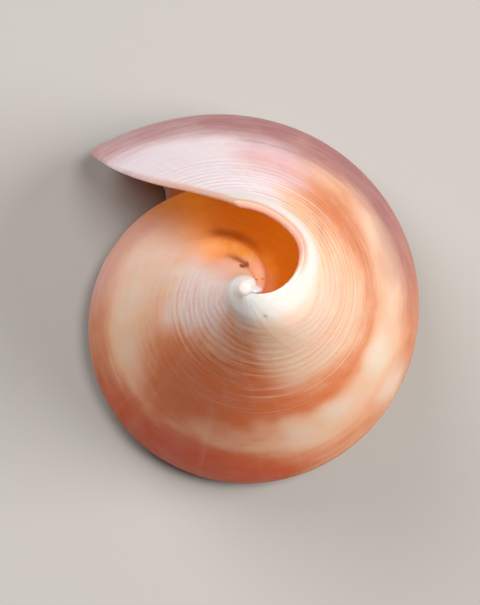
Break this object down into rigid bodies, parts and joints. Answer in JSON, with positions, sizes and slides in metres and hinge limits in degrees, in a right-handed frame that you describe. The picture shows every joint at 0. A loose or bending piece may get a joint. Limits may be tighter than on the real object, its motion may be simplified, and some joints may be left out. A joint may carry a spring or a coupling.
{
  "type": "cone shell",
  "caption": "Tapering coiled sea shell with a flat spire, a long narrow opening along one side and ridges round its narrow end.",
  "frame": {"origin": "centre of the outline in plan, on the surface the flat spire rests on", "axes": "+Z along the coil axis from the spire to the narrow tip; the outer lip ends towards -X and +Y"},
  "size_m": [0.0234, 0.026, 0.045],
  "materials": {
    "shell": "satin, orange and salmon with pale clouded bands, white at the narrow tip"
  },
  "bodies": {
    "root": {"shell": "shell"}
  },
  "joints": []
}
